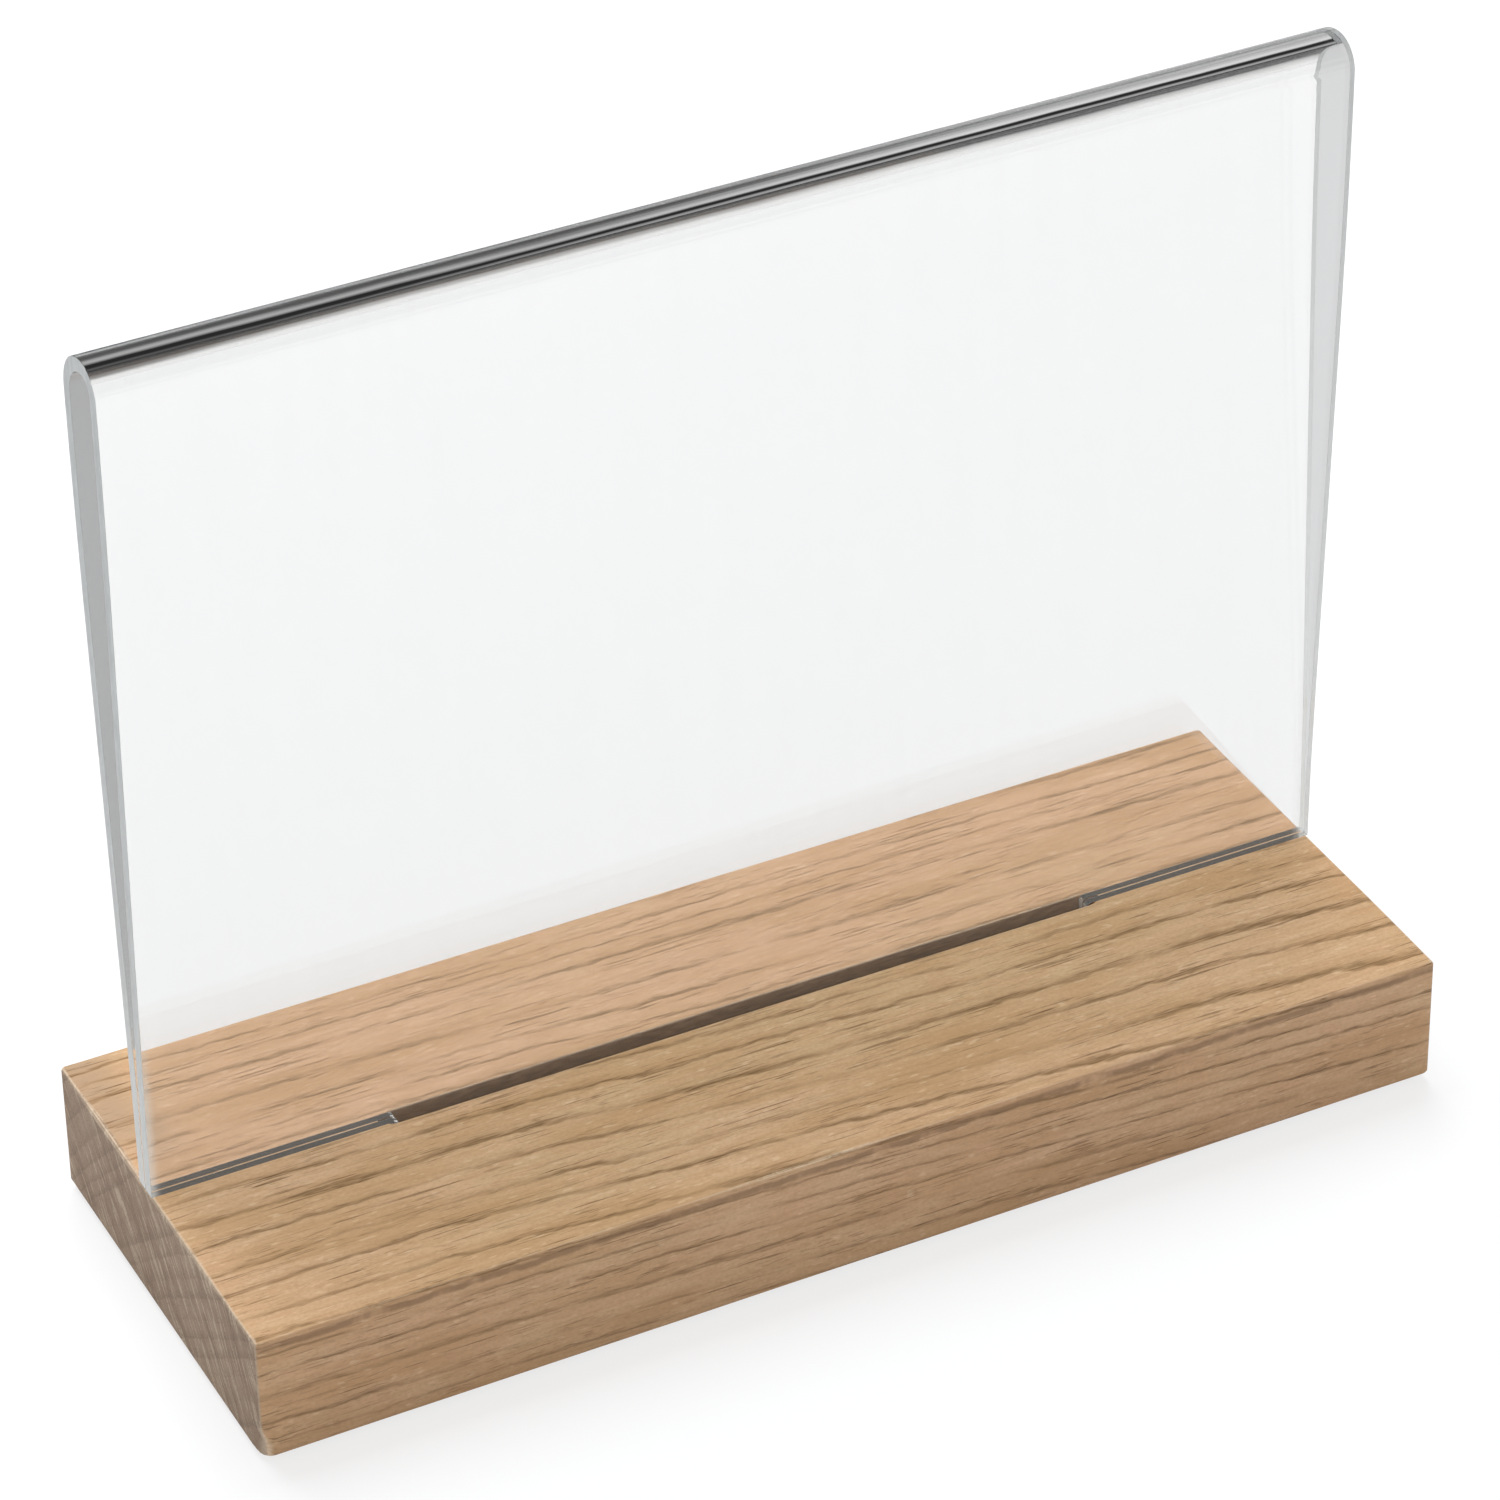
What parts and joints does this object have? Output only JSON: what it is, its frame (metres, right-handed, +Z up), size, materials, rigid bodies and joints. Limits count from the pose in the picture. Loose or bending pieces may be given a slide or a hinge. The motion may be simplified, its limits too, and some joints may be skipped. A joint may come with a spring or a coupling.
{
  "type": "acrylic sign holder",
  "caption": "Table-top sign holder: a clear folded acrylic sleeve that lifts out of a stopped slot in an eased oak block.",
  "frame": {"origin": "on the surface that the holder stands on, under the middle of the block", "axes": "+X along the block and the fold, to the right seen from the front; +Y to the back; +Z up"},
  "size_m": [0.21, 0.079, 0.1762],
  "materials": {
    "oak": "fine-sanded, thin matt oil",
    "acrylic": "clear, polished faces and edges",
    "bumper": "clear soft bumper"
  },
  "bodies": {
    "base": {"oak_base": "oak", "bumper_front_left": "bumper", "bumper_front_right": "bumper", "bumper_back_left": "bumper", "bumper_back_right": "bumper"},
    "sleeve": {"acrylic_sleeve": "acrylic"}
  },
  "joints": [
    {"name": "sleeve_lift", "type": "slide", "parent": "base", "child": "sleeve", "axis": [0, 0, 1], "range_m": [0, 0.016]}
  ]
}
